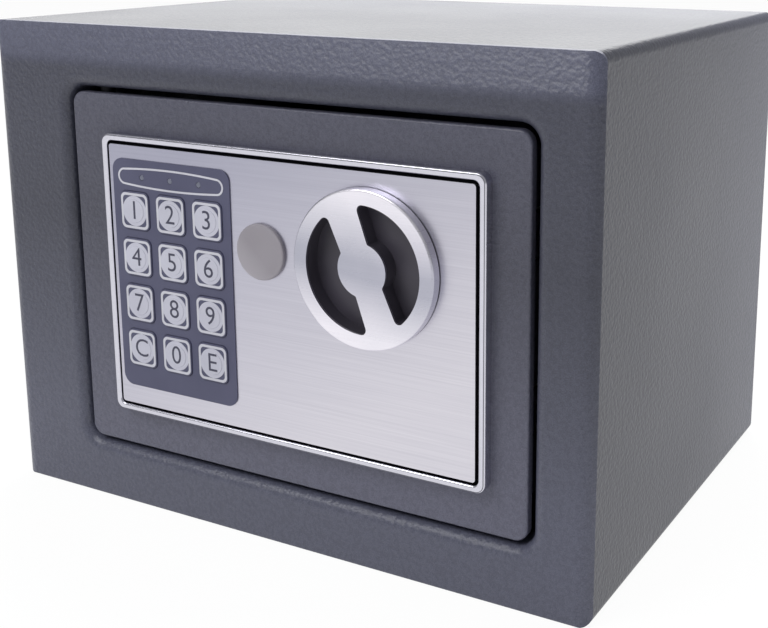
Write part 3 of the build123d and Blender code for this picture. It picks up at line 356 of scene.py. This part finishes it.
def brushed_face(name, low, high):
    """Brushed sheet: long fine lines along X, with painted light: darker at its upper left, lighter
    towards its lower right corner.
    """
    material, tree, shader = new_material(name)
    lines = noise(tree, place(tree, (10, 10, 2400)), 1.0, 3.0, 0.6)
    strokes = noise(tree, place(tree, (26, 26, 900)), 1.0)
    # Painted light: darker at the upper left, lighter towards the lower right.
    fall = along(tree, (0.6, 0, -1), (low.x, 0, high.z), (high.x, 0, low.z))
    tone = ramp(tree, fall, FACE_METAL_PAINTED_SHADE, FACE_METAL, (0.12, 0.80))
    fine = ramp(tree, lines, (0.90, 0.90, 0.91), WHITE, (0.3, 0.7))
    soft = ramp(tree, strokes, (0.96, 0.96, 0.965), WHITE)
    feed(tree, shader, {
        "Base Color": multiply(tree, tone, fine, soft),
        "Roughness": span(tree, lines, 0.30, 0.42),
        "Metallic": 1.0,
        "Normal": bump(tree, [(lines, 0.01 * MM, 0.25)]),
    })
    return material


def satin_knob(name, center, radius):
    """Satin metal disc: fine marks along X, with a painted reflection: lighter above and below its
    middle, darker across it.
    """
    material, tree, shader = new_material(name)
    marks = noise(tree, place(tree, (60, 60, 3200)), 1.0, 2.0, 0.6)
    cloud = noise(tree, place(tree), 70)
    # Painted reflection: light above and below the middle, darker across it.
    height = along(tree, (0.12, 0, 1), center, center + Vector((0, 0, radius)))
    away = calculate(tree, "ABSOLUTE", height)
    tone = ramp(tree, away, KNOB_METAL_PAINTED_SHADE, KNOB_METAL, (0.10, 0.85))
    fine = ramp(tree, marks, (0.94, 0.94, 0.945), WHITE, (0.3, 0.7))
    soft = ramp(tree, cloud, (0.95, 0.96, 0.96), WHITE)
    feed(tree, shader, {
        "Base Color": multiply(tree, tone, fine, soft),
        "Roughness": span(tree, marks, 0.24, 0.34),
        "Metallic": 1.0,
        "Normal": bump(tree, [(marks, 0.008 * MM, 0.25)]),
    })
    return material


def moulded(name, color, roughness, grain=3200, lift=1.25, specular=0.5, sweep=()):
    """Moulded plastic with a fine grain; sweep darkens it from a place low to a place high, as painted
    shade.
    """
    material, tree, shader = new_material(name)
    vector = place(tree)
    fine = noise(tree, vector, grain)
    broad = noise(tree, vector, 60)
    shade = ramp(tree, broad, color, toned(color, lift))
    # Painted shade: darker from the place low towards the place high.
    if sweep:
        fall = along(tree, Vector(sweep[1]) - Vector(sweep[0]), *sweep)
        shade = multiply(tree, shade, ramp(tree, fall, WHITE, CAP_PAINTED_SHADE, (0.05, 0.45)))
    feed(tree, shader, {
        "Base Color": shade,
        "Roughness": span(tree, fine, roughness - 0.06, roughness + 0.06),
        "Specular IOR Level": specular,
        "Normal": bump(tree, [(fine, 0.03 * MM, 0.3)]),
    })
    return material


def felt(name):
    """Needled felt: matted fibres with a soft sheen."""
    material, tree, shader = new_material(name)
    fibres = noise(tree, place(tree, (1, 2.4, 1)), 1500, 4.0, 0.7)
    clumps = noise(tree, place(tree), 160, 3.0, 0.6)
    feed(tree, shader, {
        "Base Color": ramp(tree, fibres, FELT, FELT_LIGHT, (0.4, 0.7)),
        "Roughness": 0.95,
        "Sheen Weight": 0.4,
        "Normal": bump(tree, [(clumps, 0.6 * MM, 0.4), (fibres, 0.3 * MM, 0.6)]),
    })
    return material


def circuit_board(name):
    """Green board with copper tracks under the solder mask."""
    material, tree, shader = new_material(name)
    upright = add(tree, "ShaderNodeMapping", {
        "Vector": place(tree, (120, 120, 120)), "Rotation": (math.radians(90), 0, 0),
    })
    brick = add(tree, "ShaderNodeTexBrick", {
        "Vector": upright.outputs["Vector"],
        "Color1": (*BOARD, 1),
        "Color2": (*BOARD_LIGHT, 1),
        "Mortar": (*BOARD_TRACK, 1),
        "Scale": 1.0,
        "Mortar Size": 0.012,
        "Brick Width": 0.9,
        "Row Height": 0.16,
    })
    feed(tree, shader, {
        "Base Color": brick.outputs["Color"],
        "Roughness": 0.35,
        "Normal": bump(tree, [(brick.outputs["Fac"], 0.04 * MM, 0.4)]),
    })
    return material


def coil_tape(name):
    """Wound tape round the coil: fine rings."""
    material, tree, shader = new_material(name)
    rings = noise(tree, place(tree, (30, 30, 2400)), 1.0)
    feed(tree, shader, {
        "Base Color": ramp(tree, rings, toned(COIL, 0.6), COIL),
        "Roughness": 0.35,
        "Normal": bump(tree, [(rings, 0.06 * MM, 0.5)]),
    })
    return material


def cell_wrap(name, middle, half):
    """Battery: scuffed dark wrap, bare steel at both ends along X."""
    material, tree, shader = new_material(name)
    vector = place(tree)
    split = add(tree, "ShaderNodeSeparateXYZ", {"Vector": vector})
    across = calculate(tree, "SUBTRACT", split.outputs["X"], middle)
    wrap_end = half - CELL_END
    bare = span(
        tree, calculate(tree, "ABSOLUTE", across), 0.0, 1.0, (wrap_end - CELL_END_EDGE, wrap_end),
        clamp=True,
    )
    scuff = noise(tree, vector, 400, 3.0)
    wrap = ramp(tree, scuff, toned(CELL, 0.7), CELL)
    feed(tree, shader, {
        "Base Color": mix_colors(tree, "MIX", bare, wrap, (*STEEL, 1)),
        "Metallic": bare,
        "Roughness": 0.3,
        "Normal": bump(tree, [(scuff, 0.03 * MM, 0.3)]),
    })
    return material


def printed(name, dark, light, roughness, coat=0.0):
    """Printed film: slight mottling, under a satin lacquer where it has a coat."""
    material, tree, shader = new_material(name)
    vector = place(tree)
    mottle = noise(tree, vector, 35, 3.0, 0.6)
    fine = noise(tree, vector, 2400)
    feed(tree, shader, {
        "Base Color": ramp(tree, mottle, dark, light),
        "Roughness": span(tree, fine, roughness - 0.05, roughness + 0.05),
        "Coat Weight": coat,
        "Coat Roughness": 0.15,
        "Normal": bump(tree, [(fine, 0.02 * MM, 0.2)]),
    })
    return material


# ---------------------------------------------------------------- mesh helpers
def mesh_object(name, build, material):
    """Object from a bmesh filled by build(mesh)."""
    mesh = bmesh.new()
    build(mesh)
    bmesh.ops.recalc_face_normals(mesh, faces=mesh.faces[:])
    data = bpy.data.meshes.new(name)
    mesh.to_mesh(data)
    mesh.free()
    data.materials.append(material)
    piece = bpy.data.objects.new(name, data)
    bpy.context.scene.collection.objects.link(piece)
    return piece


def middle_of(low, high):
    """Middle of a box as seen from the front: its x and z."""
    return (low.x + high.x) / 2, (low.z + high.z) / 2


def rounded_rectangle(width, height, radius, steps=8):
    """Loop of (x, z) points of a rounded rectangle about the origin."""
    points = []
    for sx, sz, start in [(1, 1, 0), (-1, 1, 90), (-1, -1, 180), (1, -1, 270)]:
        cx = sx * (width / 2 - radius)
        cz = sz * (height / 2 - radius)
        for i in range(steps + 1):
            a = math.radians(start + 90 * i / steps)
            points.append((cx + radius * math.cos(a), cz + radius * math.sin(a)))
    return points


def clipped_disc(radius, half_width, half_height):
    """Loop of a disc cut off by a rectangle."""
    points = []
    for i in range(LOOP_POINTS):
        a = 2 * math.pi * (i + 0.5) / LOOP_POINTS
        reach = min(radius, half_width / abs(math.cos(a)), half_height / abs(math.sin(a)))
        points.append((reach * math.cos(a), reach * math.sin(a)))
    return points


def window_loop(half_length, half_middle, end_radius, steps=24):
    """Loop of the indicator window: two shallow arcs joined by round ends."""
    flat = half_length - end_radius
    points = []
    for side, start in ((1, 90), (-1, 270)):
        for i in range(steps + 1):
            x = side * (flat - 2 * flat * i / steps)
            points.append((x, side * (half_middle - (half_middle - end_radius) * (x / flat) ** 2)))
        for i in range(1, steps):
            a = math.radians(start + 180 * i / steps)
            points.append((-side * flat + end_radius * math.cos(a), end_radius * math.sin(a)))
    return points


def add_loop(mesh, points, center, y):
    """Ring of vertices at a depth y."""
    return [mesh.verts.new((center[0] + x, y, center[1] + z)) for x, z in points]


def bridge(mesh, first, second):
    """Quads between two rings of as many vertices."""
    count = len(first)
    for i in range(count):
        j = (i + 1) % count
        mesh.faces.new((first[i], first[j], second[j], second[i]))


def raised_line(mesh, outer, inner, center, y_back, y_front):
    """Closed raised line between two loops."""
    rings = [
        add_loop(mesh, outer, center, y_back), add_loop(mesh, outer, center, y_front),
        add_loop(mesh, inner, center, y_front), add_loop(mesh, inner, center, y_back),
    ]
    for first, second in zip(rings, rings[1:] + rings[:1]):
        bridge(mesh, first, second)


def stepped_disc(mesh, levels, center):
    """Closed stack of loops, a list of (points, y), capped at both ends."""
    rings = [add_loop(mesh, points, center, y) for points, y in levels]
    for first, second in zip(rings, rings[1:]):
        bridge(mesh, first, second)
    mesh.faces.new(rings[0])
    mesh.faces.new(rings[-1])


# ---------------------------------------------------------------- keypad
def key_print(label, line_print, disc_print):
    """Print of a key: its bright outline and the domed disc inside; returns the dome's front."""
    low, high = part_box("key_" + label)
    center = middle_of(low, high)
    width = high.x - low.x - 2 * (KEY_FLANGE + KEY_PRINT_SIDE)
    height = high.z - low.z - 2 * (KEY_FLANGE + KEY_PRINT_END)
    outer = rounded_rectangle(width, height, KEY_CORNER)
    inner = rounded_rectangle(width - 2 * KEY_LINE, height - 2 * KEY_LINE, KEY_INNER_CORNER)
    disc = clipped_disc(KEY_DISC, width / 2 - KEY_LINE, height / 2 - KEY_LINE)
    rim = clipped_disc(KEY_DOME, width, height)
    dome = clipped_disc(KEY_DOME - KEY_DOME_RISE, width, height)
    key_front = low.y
    disc_front = key_front - KEY_DISC_PROUD
    dome_front = key_front - PRINT_PROUD - KEY_DOME_RISE

    def build_line(mesh):
        raised_line(mesh, outer, inner, center, key_front, key_front - PRINT_PROUD)

    def build_disc(mesh):
        levels = [(disc, key_front), (disc, disc_front), (rim, disc_front), (dome, dome_front)]
        stepped_disc(mesh, levels, center)

    pieces = [
        mesh_object("key_line_" + label, build_line, line_print),
        mesh_object("key_disc_" + label, build_disc, disc_print),
    ]
    for piece in pieces:
        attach(piece, "key_" + label + "_body")
    return dome_front


def key_digit(label, front, material):
    """Thin character that lies on a key's dome."""
    low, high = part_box("key_" + label)
    x, z = middle_of(low, high)
    text = bpy.data.curves.new("key_digit_" + label, "FONT")
    text.body = label.upper()
    text.size = DIGIT_SIZE
    text.align_x = "CENTER"
    text.align_y = "CENTER"
    text.extrude = DIGIT_DEPTH
    text.offset = -DIGIT_THINNING
    text.resolution_u = 4
    text.materials.append(material)
    piece = bpy.data.objects.new("key_digit_" + label, text)
    piece.location = (x, front - DIGIT_DEPTH, z)
    piece.rotation_euler = (math.radians(90), 0, 0)
    bpy.context.scene.collection.objects.link(piece)
    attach(piece, "key_" + label + "_body")


def window_print(material):
    """White outline round the indicator lamps."""
    center = middle_of(*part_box("indicator_lamps"))
    film_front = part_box("keypad_overlay")[0].y
    outer = window_loop(WINDOW_WIDTH / 2, WINDOW_MIDDLE / 2, WINDOW_END)
    inner = window_loop(
        WINDOW_WIDTH / 2 - WINDOW_LINE, WINDOW_MIDDLE / 2 - WINDOW_LINE, WINDOW_END - WINDOW_LINE,
    )

    def build(mesh):
        raised_line(mesh, outer, inner, center, film_front, film_front - PRINT_PROUD)

    piece = mesh_object("window_print", build, material)
    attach(piece, "door")


# ---------------------------------------------------------------- lock panel trim
def bezel_line(material):
    """Fine dark line near the bezel's outer edge: a painted dark reflection in the chrome."""
    low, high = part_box("panel_bezel")
    center = middle_of(low, high)

    def inset_loop(inset):
        size = (high.x - low.x - 2 * inset, high.z - low.z - 2 * inset)
        return rounded_rectangle(*size, PANEL_CORNER - inset)

    def build(mesh):
        outer, inner = inset_loop(DARK_LINE_INSET), inset_loop(DARK_LINE_INSET + DARK_LINE_WIDTH)
        raised_line(mesh, outer, inner, center, low.y + DARK_LINE_BACK, low.y + DARK_LINE_FRONT)

    piece = mesh_object("bezel_line", build, material)
    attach(piece, "door")


# ---------------------------------------------------------------- studio
def camera():
    """Camera at the photograph's place, with its off-centre crop as shift."""
    data = bpy.data.cameras.new("camera")
    data.sensor_width = SENSOR_WIDTH
    data.lens = FOCAL_PIXELS * SENSOR_WIDTH / IMAGE_WIDTH
    data.shift_x = (IMAGE_WIDTH / 2 - PRINCIPAL_POINT[0]) / IMAGE_WIDTH
    data.shift_y = (PRINCIPAL_POINT[1] - IMAGE_HEIGHT / 2) / IMAGE_WIDTH
    data.clip_start = CLIP_START
    shot = bpy.data.objects.new("camera", data)
    shot.location = CAMERA_PLACE
    shot.rotation_euler = Euler([math.radians(a) for a in CAMERA_TURN])
    bpy.context.scene.collection.objects.link(shot)
    bpy.context.scene.camera = shot


def white_for_camera(tree, shown, lit, share, also):
    """Mix of what lights the object and a plain white for camera rays and the rays in also."""
    path = tree.nodes.new("ShaderNodeLightPath")
    rays = path.outputs["Is Camera Ray"]
    for kind in also:
        rays = calculate(tree, "MAXIMUM", rays, path.outputs[kind])
    amount = calculate(tree, "MULTIPLY", rays, share)
    return add(tree, "ShaderNodeMixShader", {"Fac": amount, 1: lit, 2: shown}).outputs["Shader"]


def floor():
    """Plain white floor that keeps a faint shadow."""
    material = bpy.data.materials.new("floor")
    tree, output = empty_tree(material, "ShaderNodeOutputMaterial")
    lit = add(tree, "ShaderNodeBsdfDiffuse", {"Color": (*FLOOR_GREY, 1)})
    glow = add(tree, "ShaderNodeEmission", {"Strength": SHOWN_WHITE})
    surface = white_for_camera(
        tree, glow.outputs["Emission"], lit.outputs["BSDF"], FLOOR_WHITE_SHARE,
        ("Is Glossy Ray", "Is Transmission Ray"),
    )
    feed(tree, output, {"Surface": surface})

    def build(mesh):
        corners = [(x * FLOOR_REACH, y * FLOOR_REACH) for x, y in ((-1, -1), (1, -1), (1, 1), (-1, 1))]
        mesh.faces.new([mesh.verts.new((x, y, -FLOOR_DROP)) for x, y in corners])

    piece = mesh_object("floor", build, material)


def world():
    """White surround."""
    surround = bpy.data.worlds.new("world")
    tree, output = empty_tree(surround, "ShaderNodeOutputWorld")
    lit = add(tree, "ShaderNodeBackground", {"Color": (*SKY, 1), "Strength": SKY_STRENGTH})
    shown = add(tree, "ShaderNodeBackground", {"Color": (*WHITE, 1), "Strength": SHOWN_WHITE})
    surface = white_for_camera(
        tree, shown.outputs["Background"], lit.outputs["Background"], 1.0,
        ("Is Transmission Ray",),
    )
    feed(tree, output, {"Surface": surface})
    bpy.context.scene.world = surround


def soft_light(name, place_at, aim, size, energy):
    """Square area lamp turned to a point."""
    data = bpy.data.lights.new(name, "AREA")
    data.size = size
    data.energy = energy
    lamp = bpy.data.objects.new(name, data)
    lamp.location = place_at
    direction = Vector(aim) - Vector(place_at)
    lamp.rotation_euler = direction.to_track_quat("-Z", "Y").to_euler()
    bpy.context.scene.collection.objects.link(lamp)


# ---------------------------------------------------------------- finishes of the frame's nodes
def finish_nodes(nodes, record):
    """Give each CAD node the finish of its slot; the front frame has a lighter copy of the cabinet's
    coat, with its own painted light and shade.
    """
    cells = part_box("battery_cells")
    cells_middle = (cells[0].x + cells[1].x) / 2
    cells_half = (cells[1].x - cells[0].x) / 2
    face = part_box("panel_face")
    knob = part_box("knob_ring")
    knob_center = (knob[0] + knob[1]) / 2
    knob_radius = (knob[1].z - knob[0].z) / 2
    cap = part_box("key_cover_cap")
    frame_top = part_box("front_frame")[1].z
    lean = [(HEIGHT, frame_top - start, LEAN_SLOPE) for start in LEAN_STARTS]
    finishes = {
        "powder_coat": powder_coat(
            "powder_coat", BODY_PAINT, BODY_PAINT_LIGHT, tones=BODY_TONES, axis=DEPTH,
        ),
        "front_painted_light_coat": powder_coat(
            "front_painted_light_coat", FRONT_PAINT, FRONT_PAINT_LIGHT, folds=lean, tones=FRONT_TONES,
        ),
        "door_coat": powder_coat("door_coat", DOOR_PAINT, DOOR_PAINT_LIGHT, tones=DOOR_TONES),
        "inner_coat": powder_coat(
            "inner_coat", BODY_PAINT, BODY_PAINT_LIGHT, INNER_PEBBLE, INNER_ROUGHNESS,
        ),
        "felt": felt("felt"),
        "black_oxide": metal("black_oxide", BLACK_OXIDE, 0.45),
        "steel": metal("steel", STEEL, 0.32),
        "zinc_plate": metal("zinc_plate", ZINC, 0.36, scale=140, depth=0.03 * MM, dark=0.8),
        "bolt_steel": metal("bolt_steel", BRIGHT, 0.16, (1, 40, 40), scale=60, depth=0.01 * MM),
        "chrome_rim": metal("chrome_rim", RIM_CHROME, 0.20, scale=300, depth=0.01 * MM, dark=0.95),
        "knob_chrome": satin_knob("knob_chrome", knob_center, knob_radius),
        "brushed_face": brushed_face("brushed_face", *face),
        "dark_plastic": moulded("dark_plastic", CUP_PLASTIC, 0.42),
        # Black tray plastic with painted shade: darkened and without sheen for the groove.
        "tray_plastic": moulded("tray_plastic", TRAY_BLACK_AND_SHADE, 0.70, specular=0.0),
        "overlay_film": printed("overlay_film", FILM, FILM_LIGHT, 0.42),
        "key_film": printed("key_film", FILM, FILM_LIGHT, 0.42),
        "lamp_lens": printed("lamp_lens", LAMP, LAMP, 0.20, coat=0.6),
        "circuit_board": circuit_board("circuit_board"),
        "dome_steel": metal("dome_steel", ZINC, 0.25),
        "lock_chrome": metal("lock_chrome", BRIGHT, 0.20),
        "brass": metal("brass", BRASS, 0.28),
        "cap_plastic": moulded("cap_plastic", CAP, 0.50, grain=2400, lift=1.06, sweep=cap),
        "coil_tape": coil_tape("coil_tape"),
        "cell_wrap": cell_wrap("cell_wrap", cells_middle, cells_half),
        "reset_plastic": moulded("reset_plastic", RED, 0.30),
    }
    for part in record["subparts"]:
        data = nodes[part["node"]].data
        data.materials.clear()
        # The front frame takes a copy of the cabinet's coat with its own painted light and shade.
        finish = "front_painted_light_coat" if part["node"] == "front_frame" else part["material_slot"]
        data.materials.append(finishes[finish])


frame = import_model()
finish_nodes(frame["nodes"], frame["record"])
light_print = printed("light_print", toned(PRINT, PRINT_SHADE), PRINT, 0.38)
disc_print = printed("disc_print", toned(DISC_PRINT, PRINT_SHADE), DISC_PRINT, 0.34)
dark_print = printed("dark_print", DIGIT, DIGIT, 0.45)
for key in KEYS:
    key_digit(key, key_print(key, light_print, disc_print), dark_print)
window_print(light_print)
bezel_line(metal("bezel_line", RIM_PAINTED_REFLECTION, 0.30))
camera()
floor()
world()
for lamp in LAMPS:
    soft_light(*lamp)
scene = bpy.context.scene
scene.view_settings.view_transform = "Standard"
